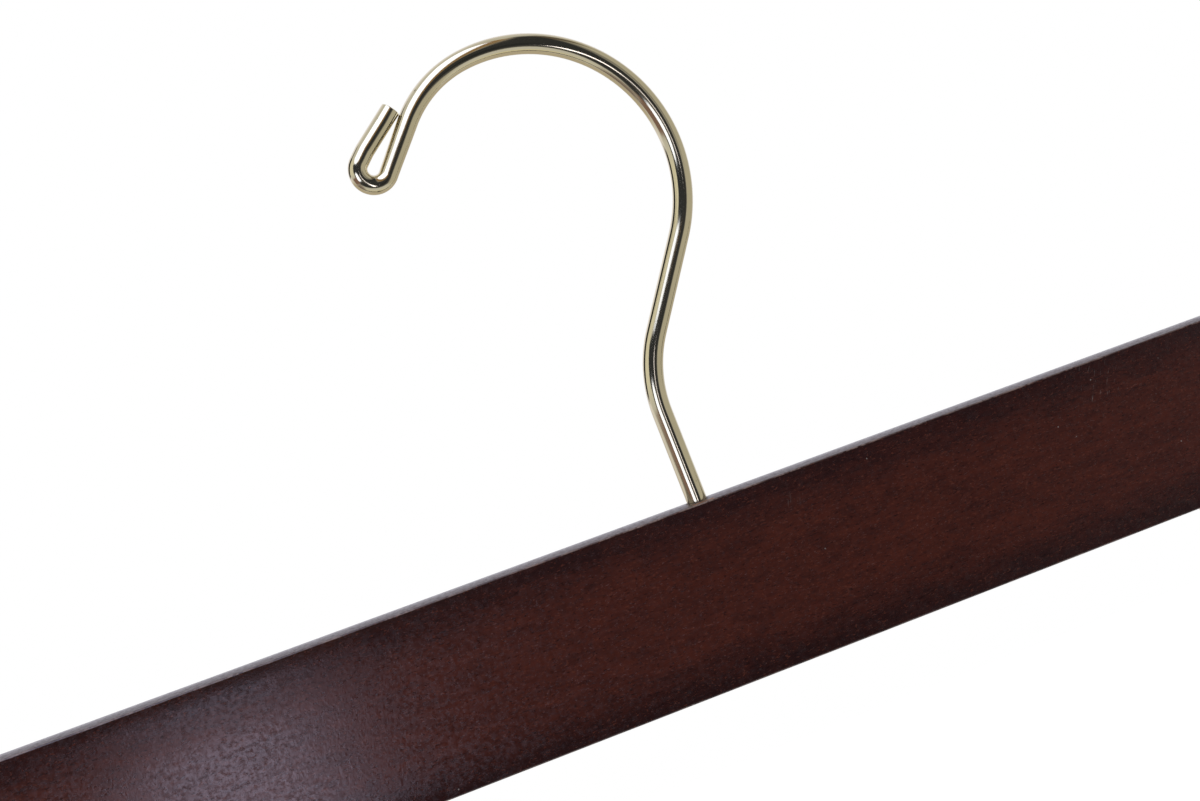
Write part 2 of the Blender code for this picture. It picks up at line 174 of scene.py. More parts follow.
class HookSettings(PropertyGroup):
    wire: length("Wire", "Diameter of the hook's wire", HOOK_HIGH.y - HOOK_LOW.y)
    thread: length("Thread", "Length of the thread at the shank's end", 0.0056)
    pitch: length("Pitch", "Pitch of the thread", 0.0007)
    thinning: length("Thinning", "How much thinner the wire is where its tip was folded", 0.00025)
    washer: length("Washer", "Diameter of the washer", 0.008)
    flats: length("Across flats", "Width of the nut across its flats", 0.007)
    plate: tint("Plate", "Colour of the pale brass plate", (0.74, 0.67, 0.48))
    steel: tint("Steel", "Colour of the zinc plated washer and nut", (0.60, 0.60, 0.58))


class ClipSettings(PropertyGroup):
    rail: length("Rail wire", "Diameter of the clip rails' wire", 0.0032)
    rail_bend: length("Rail bend", "Radius of the clip rails' bends", 0.004)
    sheet: length("Sheet", "Thickness of the jaws' sheet", 0.001)
    ear_hole: length("Ear hole", "Diameter of the holes in the jaws' ears", 0.0058)
    tube: length("Tube", "Diameter of the hinge tube", 0.0052)
    tube_bore: length("Tube bore", "Bore of the hinge tube", 0.0038)
    splay: angle("Splay", "Lean of each finger tab away from the other", 19)
    spring_wire: length("Spring wire", "Diameter of the spring's wire", 0.0011)
    coil: length("Coil", "Mean diameter of the spring's coil", 0.0071)
    spring: tint("Spring", "Colour of the spring steel", (0.50, 0.49, 0.47))
    rubber: tint("Rubber", "Colour of the moulded pads", (0.022, 0.021, 0.020))


class StageSettings(PropertyGroup):
    lens: FloatProperty(name="Lens", description="Focal length of the camera", default=70, unit="CAMERA")
    walls: FloatProperty(name="Walls", description="Brightness of the mirrored walls", default=0.64)
    ambient: FloatProperty(name="Ambient", description="Even light from all round", default=0.50)
    key: FloatProperty(name="Key", description="Power of the front softbox, in watts", default=11.0)
    fill: FloatProperty(name="Fill", description="Power of the rear softbox, in watts", default=9.0)
    floor_drop: length("Floor drop", "Height of the hook's crown over the floor", 1.4)


class Socket:
    """One output of a node tree in the making. A sum with it adds Math nodes."""

    def __init__(self, finish, output):
        self.finish = finish
        self.output = output

    def maths(self, operation, *values):
        return self.finish.node("ShaderNodeMath", {"operation": operation}, dict(enumerate(values)))

    def __add__(self, other):
        return self.maths("ADD", self, other)

    def __sub__(self, other):
        return self.maths("SUBTRACT", self, other)

    def __rsub__(self, other):
        return self.maths("SUBTRACT", other, self)

    def __mul__(self, other):
        return self.maths("MULTIPLY", self, other)

    def __truediv__(self, other):
        return self.maths("DIVIDE", self, other)

    def __abs__(self):
        return self.maths("ABSOLUTE", self)

    __radd__ = __add__
    __rmul__ = __mul__

    def least(self, other):
        return self.maths("MINIMUM", self, other)

    def most(self, other):
        return self.maths("MAXIMUM", self, other)

    def rise(self, low, high, start=0.0, end=1.0):
        """Goes smoothly from start to end as this value goes from low to high."""
        values = {"Value": self, "From Min": low, "From Max": high, "To Min": start, "To Max": end}
        return self.finish.node("ShaderNodeMapRange", {"interpolation_type": "SMOOTHSTEP"}, values)

    def vector(self, operation, other, output=0):
        values = {0: self, 1: other}
        return self.finish.node("ShaderNodeVectorMath", {"operation": operation}, values, output)

    def axis(self, name):
        return self.finish.node("ShaderNodeSeparateXYZ", None, {"Vector": self}, name)

    def cloud(self, scale, detail=2.0, roughness=0.5, distortion=0.0):
        """Soft noise read at this place. A scale of three numbers stretches it along the axes."""
        place = self
        if isinstance(scale, tuple):
            place, scale = self.vector("MULTIPLY", scale), 1
        values = {"Vector": place, "Scale": scale, "Detail": detail}
        values.update({"Roughness": roughness, "Distortion": distortion})
        return self.finish.node("ShaderNodeTexNoise", None, values)

    def cells(self, scale):
        return self.finish.node("ShaderNodeTexVoronoi", {"feature": "F1"}, {"Vector": self, "Scale": scale})


class Finish:
    """The nodes of one material, or of the world."""

    def __init__(self, owner):
        owner.use_nodes = True
        self.owner = owner
        self.tree = owner.node_tree
        self.tree.nodes.clear()

    def node(self, kind, settings=None, values=None, output=0):
        """Adds a node with its settings first, then the values or links of its sockets."""
        made = self.tree.nodes.new(kind)
        for name, value in (settings or {}).items():
            setattr(made, name, value)
        for name, value in (values or {}).items():
            socket = made.inputs[name]
            if isinstance(value, Socket):
                self.tree.links.new(value.output, socket)
            elif socket.type == "RGBA":
                socket.default_value = (*value, 1)
            else:
                socket.default_value = value
        return Socket(self, made.outputs[output]) if made.outputs else None

    def ray(self, name):
        return self.node("ShaderNodeLightPath", output=f"Is {name} Ray")

    def seen(self):
        """1 for what the camera sees, also through glass."""
        return self.ray("Camera").most(self.ray("Transmission"))

    def blend(self, factor, first, second):
        """Mixes two colours."""
        return self.node("ShaderNodeMix", {"data_type": "RGBA"}, {0: factor, 6: first, 7: second}, 2)

    def surface(self, colour, rough, height, depth, strength, metallic=0.0, extra=None):
        """The finished material. Its relief has a height, a depth in metres and a strength."""
        relief = {"Height": height, "Distance": depth, "Strength": strength}
        values = {"Base Color": colour, "Roughness": rough, "Metallic": metallic, **(extra or {})}
        values["Normal"] = self.node("ShaderNodeBump", None, relief)
        shader = self.node("ShaderNodeBsdfPrincipled", None, values)
        self.node("ShaderNodeOutputMaterial", None, {"Surface": shader})
        return self.owner


def new_finish(name):
    """The nodes of a new material, and the place on the object where they are read."""
    finish = Finish(bpy.data.materials.new(name))
    return finish, finish.node("ShaderNodeTexCoord", output="Object")


def darker(colour, share):
    return tuple(value * share for value in colour)


def scuff(place, centre, spread, lean):
    """Hair scratches in a small patch, leaning by an angle."""
    near = place.vector("DISTANCE", centre, "Value").rise(spread, 0)
    turned = place.finish.node("ShaderNodeVectorRotate", {"rotation_type": "Y_AXIS"},
                               {"Vector": place, "Angle": radians(lean)})
    lines = turned.cloud((260, 500, 3200), 3, 0.6, 0.4).rise(0.60, 0.68)
    breaks = place.cloud(900, 2).rise(0.45, 0.60)
    return near * lines * breaks


def stained_wood(bar):
    """Dark mahogany stain on a close grained wood, under a satin lacquer."""
    finish, place = new_finish("stained_wood")
    facing = finish.node("ShaderNodeTexCoord", output="Normal")
    centre, half = middle_and_half(BAR_LOW, BAR_HIGH)
    drift = place.cloud((18, 60, 60), 2)
    figure = place.cloud((70, 220, 300), 4, 0.62, 0.9)
    mottle = place.cloud((260, 420, 620), 3, 0.62, 0.5)
    flecks = place.cloud((900, 1500, 3300), 2, 0.55).rise(0.57, 0.68)
    streaks = place.cloud((420, 1300, 2300), 3, 0.6).rise(0.42, 0.62)
    pores = place.cloud((1400, 2600, 3600), 1).rise(0.62, 0.72)
    glints = place.cloud((1500, 2600, 3200), 1).rise(0.62, 0.72)
    edge = abs(place.axis("Z") - centre.z) / half.z + (drift - 0.5) * 0.22
    toned = edge.rise(0.42, 1.02)
    depth = figure.rise(0.36, 0.66) * 0.26 + mottle.rise(0.38, 0.66) * 0.22 + streaks * 0.20
    shade = (toned * 0.82 + depth * (1 - toned * 0.5)).least(1)
    colour = finish.blend(shade, bar.stain, bar.toner)
    colour = finish.blend((flecks * 0.60).least(1), colour, darker(bar.toner, 0.50))
    colour = finish.blend(glints * 0.40, colour, (0.125, 0.036, 0.022))
    specks = place.cells(165).rise(0.031, 0.019)
    right_scuff, left_scuff = (scuff(place, *patch) for patch in SCUFFS)
    worn = (specks * 0.60).most((right_scuff + left_scuff * 0.5).least(1) * 0.42)
    colour = finish.blend(worn, colour, (0.27, 0.25, 0.24))
    # The rounded long edges are painted a lighter colour in patches: partly lacquer worn through on the
    # arris, partly a painted highlight standing in for the light that the arris catches.
    upward, outward = abs(facing.axis("Z")), abs(facing.axis("Y"))
    worn_and_lit_patches = place.cloud(160, 2).rise(0.42, 0.60, 0.25)
    worn_and_lit_patches = worn_and_lit_patches * place.cloud(900, 3, 0.7).rise(0.30, 0.60)
    worn_and_highlit_edge = (upward * outward).rise(0.20, 0.44) * worn_and_lit_patches
    colour = finish.blend(worn_and_highlit_edge * 0.70, colour, (0.225, 0.165, 0.150))
    grain = place.cloud(1500, 3, 0.62)
    dots = place.cloud(1000, 4, 0.72).rise(0.40, 0.66)
    flat = upward.rise(0.55, 0.97) * place.axis("Y").rise(BAR_LOW.y, BAR_HIGH.y, 0.30, 0.05)
    rough = 0.100 + dots * 0.15 + pores * 0.12 + worn * 0.15 + (drift - 0.5) * 0.04 + flat
    height = grain + mottle * 0.15 - pores * 0.10 - flecks * 0.05
    lacquer = {"IOR": 1.5, "Specular IOR Level": 0.625, "Specular Tint": (0.95, 0.93, 1.0)}
    return finish.surface(colour, rough, height, 0.000014, 0.9, extra=lacquer)


def raw_wood():
    """Bare wood inside the drilled holes, with stain that ran in."""
    finish, place = new_finish("raw_wood")
    streaks = place.cloud((200, 900, 900), 3)
    run_in = place.cloud(420, 3).rise(0.38, 0.62)
    colour = finish.blend(streaks.rise(0.3, 0.7), (0.30, 0.155, 0.075), (0.19, 0.085, 0.040))
    colour = finish.blend(run_in * 0.7, colour, (0.040, 0.014, 0.010))
    return finish.surface(colour, 0.78 + (streaks - 0.5) * 0.2, streaks, 0.00005, 0.8)


def wire_plate(name, plate, rough):
    """Bright plating on drawn wire: fine draw lines along it, small pits and soft stains."""
    finish = Finish(bpy.data.materials.new(name))
    place = finish.node("ShaderNodeAttribute", {"attribute_name": "wire_place"}, output="Vector")
    lines = place.cloud((5200, 5200, 90), 3, 0.6)
    grain = place.cloud(7000, 2, 0.6)
    stains = place.cloud((420, 420, 130), 3, 0.6)
    pits = place.vector("MULTIPLY", (1, 1, 0.8)).cells(520).rise(0.085, 0.045)
    chips = place.vector("MULTIPLY", (1, 1, 0.55)).cells(240).rise(0.052, 0.030)
    dark = (pits * 0.5).most(chips * 0.8)
    warm = finish.blend(stains.rise(0.40, 0.70) * 0.35, plate, darker(plate, 0.86))
    colour = finish.blend(dark, warm, darker(plate, 0.22))
    rough = rough + lines * 0.03 + stains.rise(0.45, 0.75) * 0.03 + dark * 0.3
    height = lines * 0.6 + grain * 1.1 - dark * 0.8 + stains * 0.5
    return finish.surface(colour, rough, height, 0.000004, 0.5, metallic=1.0)


def pressed_plate(plate):
    """The same plating on pressed sheet: slight pressing waves, fine rub marks and pits."""
    finish, place = new_finish("pressed_plate")
    waves = place.cloud(210, 2)
    rubs = place.cloud((240, 2600, 4200), 3, 0.6, 0.3)
    stains = place.cloud(330, 4, 0.6)
    pits = place.cells(480).rise(0.080, 0.045)
    colour = finish.blend(stains.rise(0.42, 0.70) * 0.35, plate, darker(plate, 0.84))
    colour = finish.blend(pits * 0.6, colour, darker(plate, 0.25))
    rough = 0.13 + rubs * 0.09 + stains.rise(0.45, 0.75) * 0.06 + pits * 0.2
    height = waves + rubs * 0.10 - pits * 0.25
    return finish.surface(colour, rough, height, 0.000022, 0.6, metallic=1.0)


def cut_steel():
    """Bare steel where the wire was sheared, with shear lines and a trace of rust."""
    finish, place = new_finish("cut_steel")
    shear = place.cloud((700, 5200, 700), 3)
    rust = place.cloud(1500, 3).rise(0.55, 0.72)
    colour = finish.blend(rust * 0.35, (0.62, 0.60, 0.56), (0.24, 0.13, 0.07))
    return finish.surface(colour, 0.30 + shear * 0.22, shear, 0.00002, 0.8, metallic=1 - rust * 0.35)


def zinc_steel(steel):
    """Zinc plate: a slightly mottled grey with fine spangle."""
    finish, place = new_finish("zinc_steel")
    spangle = place.cells(1300)
    haze = place.cloud(900, 3)
    colour = finish.blend(haze.rise(0.35, 0.70) * 0.6, steel, darker(steel, 0.72))
    rough = 0.27 + haze * 0.16 + spangle * 0.08
    return finish.surface(colour, rough, haze + spangle * 0.3, 0.00001, 0.7, metallic=1.0)


def black_rubber(rubber):
    """Moulded rubber: matt, finely pebbled, with patches of pale dust."""
    finish, place = new_finish("black_rubber")
    pebbles = place.cells(2600)
    dust = place.cloud(340, 4, 0.65).rise(0.52, 0.74)
    bloom = place.cloud(90, 2)
    colour = finish.blend(dust * 0.30 + bloom * 0.06, rubber, (0.115, 0.108, 0.100))
    return finish.surface(colour, 0.55 + bloom * 0.12 + dust * 0.15, pebbles, 0.00004, 0.6)


def middle_and_half(low, high):
    """A box's middle and its half sizes, from its two corners."""
    return (low + high) / 2, (high - low) / 2


def spaced(first, last, count):
    """Numbers from first to last in even steps."""
    return [first + (last - first) * step / count for step in range(count + 1)]


def turns(count):
    """Angles that divide a full turn evenly."""
    return [tau * index / count for index in range(count)]


def arc_steps(radius, steps):
    """How far in from its end each step of a quarter arc lies."""
    return [radius * (1 - cos(pi / 2 * step / steps)) for step in range(steps + 1)]


def linked(name, data):
    """A new object in the scene."""
    made = bpy.data.objects.new(name, data)
    bpy.context.scene.collection.objects.link(made)
    return made


def loft(name, rings, joined=False, places=None):
    """A closed skin over a row of rings. Joined rows meet again, others are capped. places are where
    the finish of a wire is read.
    """
    count = len(rings[0])
    faces = []
    for first in range(len(rings) if joined else len(rings) - 1):
        second = (first + 1) % len(rings)
        for side in range(count):
            other = (side + 1) % count
            faces.append((first * count + side, first * count + other,
                          second * count + other, second * count + side))
    if not joined:
        last = (len(rings) - 1) * count
        faces += [tuple(range(count)), tuple(range(last, last + count))]
    mesh = bpy.data.meshes.new(name)
    mesh.from_pydata([point for ring in rings for point in ring], [], faces)
    build = bmesh.new()
    build.from_mesh(mesh)
    bmesh.ops.recalc_face_normals(build, faces=build.faces)
    build.to_mesh(mesh)
    build.free()
    if places:
        layer = mesh.attributes.new("wire_place", "FLOAT_VECTOR", "POINT")
        layer.data.foreach_set("vector", [value for place in places for value in place])
    return mesh


def piece(name, mesh, material, body, node, sharp=32):
    """A finished piece that stands for a node of the model, and rides on a body where one is given."""
    mesh.shade_smooth()
    mesh.set_sharp_from_angle(angle=radians(sharp))
    if not mesh.materials:
        mesh.materials.append(material)
    made = linked(name, mesh)
    if body:
        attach(made, body)
    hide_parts(node)
    return made


def carved(mesh, tools, operation="DIFFERENCE"):
    """The mesh after each tool mesh was cut from it or joined to it, without materials."""
    work = linked("work", mesh)
    helpers = [linked("tool", tool) for tool in tools]
    for helper in helpers:
        modifier = work.modifiers.new("carve", "BOOLEAN")
        modifier.operation = operation
        modifier.solver = "EXACT"
        modifier.object = helper
    graph = bpy.context.evaluated_depsgraph_get()
    result = bpy.data.meshes.new_from_object(work.evaluated_get(graph), depsgraph=graph)
    result.materials.clear()
    for item in (work, *helpers):
        bpy.data.objects.remove(item)
    return result


class Course:
    """Draws a wire's centreline across and up one plane, as straight runs and round bends."""

    def __init__(self, across, up, heading):
        self.at = Vector((across, up))
        self.heading = heading
        self.points = [self.at.copy()]

    def run(self, distance):
        turn = radians(self.heading)
        start = self.at
        count = max(1, round(distance / RUN_STEP))
        for index in range(1, count + 1):
            self.at = start + distance * index / count * Vector((cos(turn), sin(turn)))
            self.points.append(self.at.copy())

    def bend(self, radius, heading):
        side = copysign(radius, heading - self.heading)
        start = radians(self.heading)
        centre = self.at + side * Vector((-sin(start), cos(start)))
        count = max(4, ceil(abs(heading - self.heading) / BEND_STEP))
        for index in range(1, count + 1):
            turn = radians(self.heading + (heading - self.heading) * index / count)
            self.at = centre + side * Vector((sin(turn), -cos(turn)))
            self.points.append(self.at.copy())
        self.heading = heading

    def follow(self, steps):
        for kind, *sizes in steps:
            getattr(self, kind)(*sizes)


def eased_ends(points, radius, edge):
    """Each point with its radius, and small rings at both ends that round their edges."""
    rows = [(point, radius) for point in points]
    for end, inward in ((0, 1), (-1, -1)):
        tip = points[end]
        along = (points[end + inward] - tip).normalized()
        rings = []
        for step in range(EDGE_STEPS):
            turn = pi / 2 * step / EDGE_STEPS
            place = tip + along * edge * (1 - sin(turn))
            rings.append((place, radius - edge * (1 - cos(turn))))
        flat = [(tip, radius - edge - EDGE_SUPPORT)]
        ordered = flat + rings[::-1]
        rows = ordered + rows[1:] if end == 0 else rows[:-1] + ordered[::-1]
    return rows


def wire_mesh(name, points, diameter, edge, sides=WIRE_SIDES, cut=None):
    """A round wire whose points keep their place around and along it. cut takes its surface in."""
    rows = eased_ends([Vector(point) for point in points], diameter / 2, edge)
    rings, places = [], []
    normal = Vector((0, 1, 0))
    travelled = 0.0
    for index, (point, radius) in enumerate(rows):
        before, after = rows[max(0, index - 1)][0], rows[min(len(rows) - 1, index + 1)][0]
        tangent = (after - before).normalized()
        if index:
            travelled += (point - rows[index - 1][0]).length
        normal = (normal - tangent * normal.dot(tangent)).normalized()
        other = tangent.cross(normal)
        ring = []
        for turn in turns(sides):
            reach = radius - (cut(travelled, turn) if cut else 0)
            ring.append(point + reach * (normal * cos(turn) + other * sin(turn)))
            places.append((diameter / 2 * cos(turn), diameter / 2 * sin(turn), travelled))
        rings.append(ring)
    return loft(name, rings, places=places)


def turned_mesh(name, profile, axis, centre, sides=TURNED_SIDES):
    """A ring turned about X or Z from (radius, along) points. profile may depend on the angle."""
    rings = []
    for turn in turns(sides):
        points = profile(turn) if callable(profile) else profile
        across, up = cos(turn), sin(turn)
        spots = [Vector((r * across, r * up, along)) for r, along in points]
        rings.append([centre + (spot if axis == "Z" else spot.zxy) for spot in spots])
    return loft(name, rings, joined=True)


def eased(points, radius, steps=EDGE_STEPS):
    """A closed outline with each corner turned on an arc. radius may be a list, one per corner."""
    result = []
    for index, corner in enumerate(points):
        bend = radius[index] if isinstance(radius, (list, tuple)) else radius
        corner = Vector(corner)
        back = (Vector(points[index - 1]) - corner).normalized()
        ahead = (Vector(points[(index + 1) % len(points)]) - corner).normalized()
        half = back.angle(ahead) / 2
        centre = corner + (back + ahead).normalized() * bend / sin(half)
        start = corner + back * bend / tan(half) - centre
        turn = pi - 2 * half
        if back.x * ahead.y - back.y * ahead.x > 0:
            turn = -turn
        for part in range(steps + 1):
            result.append(centre + Matrix.Rotation(turn * part / steps, 2) @ start)
    return result


def eased_run(points, radius, steps):
    """The eased corners between the two ends of an open run of points."""
    return eased(points, radius, steps)[steps + 1:-steps - 1]


def slab_section(half_width, half_depth, edge, columns, rows):
    """Points round a slab's section, as (across, depth), with eased edges."""
    edge = min(edge, half_width * EDGE_LIMIT, half_depth * EDGE_LIMIT)
    sides = ((half_width - edge, half_depth, columns), (half_depth - edge, half_width, rows))
    points = []
    for quarter in range(4):
        reach, far, count = sides[quarter % 2]
        inner = reach - min(EDGE_SUPPORT, reach / 4)
        side = [(place, -far) for place in spaced(-inner, inner, count)]
        for turn in spaced(-pi / 2, 0, EDGE_STEPS):
            side.append((reach + edge * cos(turn), edge - far + edge * sin(turn)))
        for _ in range(quarter):
            side = [(-y, x) for x, y in side]
        points += side
    return points


def end_offsets(edge, corner):
    """Distances from an end that follow its eased edge and its corner arc."""
    kept = [0.0]
    for place in sorted(arc_steps(edge, EDGE_STEPS) + arc_steps(corner, CORNER_STEPS)):
        if place - kept[-1] > edge * NEAREST_SHARE:
            kept.append(place)
    return kept


def stations(whole, edge, corner, step):
    """Places along a whole length, close together where its two ends are rounded."""
    ends = end_offsets(edge, corner)[:-1]
    middle = spaced(corner, whole - corner, round((whole - 2 * corner) / step))
    return ends + middle + [whole - place for place in reversed(ends)]


def arc_inset(distance, radius):
    """How far an eased edge or corner stands back at a distance from its end."""
    if distance >= radius:
        return 0.0
    return radius - sqrt(radius ** 2 - (radius - distance) ** 2)


def bar_mesh(bar):
    """The bar's body: flat faces, corners on arcs and hand eased long edges that wander a little."""
    centre, half = middle_and_half(BAR_LOW, BAR_HIGH)
    rings = []
    for place in stations(2 * half.x, bar.arris, bar.corner, BAR_STEP):
        along = place - half.x
        distance = half.x - abs(along)
        height = half.z - arc_inset(distance, bar.corner)
        depth = half.y - arc_inset(distance, bar.arris)
        wander = sum(size * noise.noise(Vector((along * pace, start, 0))) for size, pace, start in WANDERS)
        ring = []
        for z, y in slab_section(height, depth, bar.arris * (1 + wander), BAR_COLUMNS, BAR_ROWS):
            sanded = 1 - bar.crown / half.y * (z / half.z) ** 4
            fallen = 1 - bar.top_crown / half.z * (y / half.y) ** 2 if z > 0 else 1
            ring.append(centre + Vector((along, y * sanded, z * fallen)))
        rings.append(ring)
    return loft("bar_timber", with_caps(rings))


def with_caps(rings):
    """Rings with a slightly smaller flat one inside each end, which keeps the caps crisp."""
    capped = list(rings)
    for end, place in ((0, 0), (-1, len(rings) + 1)):
        ring = rings[end]
        centre = sum(ring, Vector()) / len(ring)
        inner = [point + (centre - point).normalized() * EDGE_SUPPORT for point in ring]
        capped.insert(place, inner)
    return capped


def hole_tool(across, radius, mouth, end, flare):
    """A round plug about Z for a hole from its mouth to its end, with a small flare at the mouth."""
    inward = copysign(1, end - mouth)
    rows = ((radius + flare, mouth - inward * OVERRUN), (radius + flare, mouth),
            (radius, mouth + inward * flare), (radius, end))
    circle = [(cos(turn), sin(turn)) for turn in turns(TURNED_SIDES)]
    return loft("plug", [[Vector((across + r * x, r * y, z)) for x, y in circle] for r, z in rows])


def make_bar(bar):
    flare = bar.arris * FLARE_SHARE
    ceiling = BAR_LOW.z + bar.recess_depth
    holes = [(SWIVEL.x, bar.bore / 2, BAR_HIGH.z, ceiling - OVERRUN),
             (SWIVEL.x, bar.recess / 2, BAR_LOW.z, ceiling)]
    for side in SIDE_NAMES:
        low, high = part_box(f"{side}_clip_rail")
        inset = (high.y - low.y) / 2
        for across in (low.x + inset, high.x - inset):
            holes.append((across, bar.seat / 2, BAR_LOW.z, BAR_LOW.z + bar.seat_depth))
    mesh = carved(bar_mesh(bar), [hole_tool(*hole, flare) for hole in holes])
    mesh.materials.append(stained_wood(bar))
    mesh.materials.append(raw_wood())
    for face in mesh.polygons:
        centre = face.center
        inside = BAR_LOW.z + flare < centre.z < BAR_HIGH.z - flare
        if inside and abs(centre.y) < BAR_HIGH.y - bar.arris:
            reach = min(hypot(centre.x - across, centre.y) - radius for across, radius, *_ in holes)
            face.material_index = int(reach < flare)
    piece("bar_timber", mesh, None, "bar", "wooden_bar")


def smooth(share):
    share = min(1, max(0, share))
    return share * share * (3 - 2 * share)


def hook_points(hook):
    """The hook's centreline from its threaded end to its cut end, and how far along its fold starts."""
    course = Course(SWIVEL.x, HOOK_LOW.z, 90)
    course.run(BAR_HIGH.z - HOOK_LOW.z)
    course.follow(HOOK_COURSE)
    foot = course.at.copy()
    fold_start = sum((b - a).length for a, b in zip(course.points, course.points[1:]))
    leg = radians(course.heading - 180)
    course.follow(HOOK_FOLD)
    closing = leg - radians(course.heading)
    away = course.at - foot
    distance = cos(leg) * away.y - sin(leg) * away.x
    stop = (hook.wire - hook.thinning) / 2 * (1 + cos(closing)) + HOOK_CUT_GAP
    course.run((distance - stop) / sin(closing))
    return [Vector((point.x, 0, point.y)) for point in course.points], fold_start


def make_hook(hook):
    course, fold_start = hook_points(hook)
    rings = round(hook.thread / hook.pitch) * THREAD_RINGS
    threaded = [course[0] + Vector((0, 0, hook.thread * k / rings)) for k in range(rings + 1)]
    passed = next(k for k, point in enumerate(course) if point.z > threaded[-1].z + RUN_STEP / 3)
    points = threaded + course[passed:]

    def taken_in(travelled, turn):
        ramp = min(1, max(0, (hook.thread - travelled) / hook.pitch))
        phase = (travelled / hook.pitch - turn / tau) % 1
        drawn = smooth((travelled - fold_start) / FOLD_TAPER + 1) * hook.thinning / 2
        return hook.pitch * THREAD_DEPTH_SHARE * ramp * abs(2 * phase - 1) + drawn

    mesh = wire_mesh("hook_wire", points, hook.wire, HOOK_CUT_EDGE, cut=taken_in)
    mesh.materials.append(wire_plate("hook_plate", hook.plate, 0.07))
    mesh.materials.append(cut_steel())
    tip, along = points[-1], (points[-1] - points[-2]).normalized()
    for face in mesh.polygons:
        if face.normal.dot(along) > HOOK_CUT_FACING and (face.center - tip).length < hook.wire / 2:
            face.material_index = 1
    piece("hook_wire", mesh, None, "hook", "hook", 40)


def make_fasteners(hook):
    steel = zinc_steel(hook.steel)
    inner = hook.wire / 2 + FASTENER_GAP
    centre, half = middle_and_half(*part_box("hook_washer"))
    thick = half.z
    corners = [(inner, -thick), (hook.washer / 2, -thick), (hook.washer / 2, thick), (inner, thick)]
    profile = eased(corners, thick * WASHER_EDGE_SHARE)
    washer = turned_mesh("washer", profile, "Z", Vector((SWIVEL.x, 0, centre.z)))
    piece("hook_washer_plate", washer, steel, "hook", "hook_washer")
    centre, half = middle_and_half(*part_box("hook_nut"))
    high = half.z
    bearing = hook.flats / 2 * NUT_BEARING_SHARE

    def nut_profile(turn):
        sector = (turn + pi / 6) % (pi / 3) - pi / 6
        corner = hook.flats / 2 / cos(sector)
        cut = max(0, corner - bearing) * tan(radians(NUT_CHAMFER))
        lower = [(inner, NUT_LEAD - high), (inner + NUT_LEAD, -high), (bearing, -high), (corner, cut - high)]
        return lower + [(radius, -along) for radius, along in reversed(lower)]

    nut = turned_mesh("nut", nut_profile, "Z", Vector((SWIVEL.x, 0, centre.z)), NUT_SIDES)
    piece("hook_nut_hex", nut, steel, "hook", "hook_nut", 24)


def make_rails(clip, plate):
    finish = wire_plate("rail_plate", plate, 0.09)
    inset = clip.rail / 2
    for side in SIDE_NAMES:
        low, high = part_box(f"{side}_clip_rail")
        leg = ("run", high.z - low.z - inset - clip.rail_bend)
        foot = ("run", high.x - low.x - 2 * inset - 2 * clip.rail_bend)
        course = Course(low.x + inset, high.z, 270)
        course.follow((leg, ("bend", clip.rail_bend, 360), foot, ("bend", clip.rail_bend, 450), leg))
        points = [(across, 0, up) for across, up in course.points]
        mesh = wire_mesh(f"{side}_rail_wire", points, clip.rail, RAIL_CUT_EDGE)
        piece(f"{side}_rail_wire", mesh, finish, "bar", f"{side}_clip_rail")


def pivot_of(side):
    return Vector(JOINTS[f"{side}_clip_open"]["pos_m"])


def make_tubes(clip, finish):
    bore, skin = clip.tube_bore / 2, clip.tube / 2
    rounds = [TUBE_FILLET] + [TUBE_RIM_EDGE] * 2 + [TUBE_BORE_EDGE]
    for side in SIDE_NAMES:
        centre, half = middle_and_half(*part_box(f"{side}_hinge_tube"))
        collar = half.x - TUBE_COLLAR
        upper = [(skin, collar), (half.z, collar), (half.z, half.x), (bore, half.x)]
        lower = [(radius, -along) for radius, along in reversed(upper)]
        mesh = turned_mesh("tube", eased(upper + lower, rounds + rounds[::-1]), "X", pivot_of(side))
        piece(f"{side}_hinge_sleeve", mesh, finish, f"{side}_carrier", f"{side}_hinge_tube")


# Jaws: their side view and front view from the hinge's axis, their ribs and their eased edges
TAB_TANGENT = 0.0049
PLATE_OFFSET = 0.0064
PLATE_FLAT_DROP = 0.004
JAW_SHOULDER_DROP = 0.0135
JAW_DROP = 0.025
JAW_OFFSET = 0.00225
JAW_BEND = 0.0025
TAB_RISE = 0.0165
TAB_SHOULDER = 0.006
TAB_WIDTH = 0.019
TAB_CORNER = 0.005
JAW_CORNER = 0.002
EAR_RADIUS = 0.0045
RIB_HEIGHT = 0.00032
RIB_PITCH = 0.0023
RIBS = 4
RIB_SPAN = 0.0062
RIB_START = 0.0042
SHEET_EDGE_SHARE = 0.28
EAR_EDGE_SHARE = 0.2


def jaw_path(side, clip):
    """Middle of a jaw's sheet in Y and Z, from its gripping end to its finger tab."""
    splay = clip.splay
    foot = (PLATE_OFFSET * cos(splay) - TAB_TANGENT) / sin(splay)
    tip = (TAB_TANGENT + TAB_RISE * sin(splay)) / cos(splay)
    corners = [
        (JAW_OFFSET, -JAW_DROP), (JAW_OFFSET, -JAW_SHOULDER_DROP), (PLATE_OFFSET, -PLATE_FLAT_DROP),
        (PLATE_OFFSET, foot), (tip, TAB_RISE),
    ]
    points = [corners[0], *eased_run(corners, JAW_BEND, CORNER_STEPS), corners[-1]]
    return [Vector((side * depth, up)) for depth, up in points], foot


def half_width_at(outline, height):
    """Half width of a front view at a height, from its right side's points."""
    for first, second in zip(outline, outline[1:]):
        if first.y <= height <= second.y and second.y > first.y:
            share = (height - first.y) / (second.y - first.y)
            return first.x + (second.x - first.x) * share
    return outline[0].x if height < outline[0].y else outline[-1].x


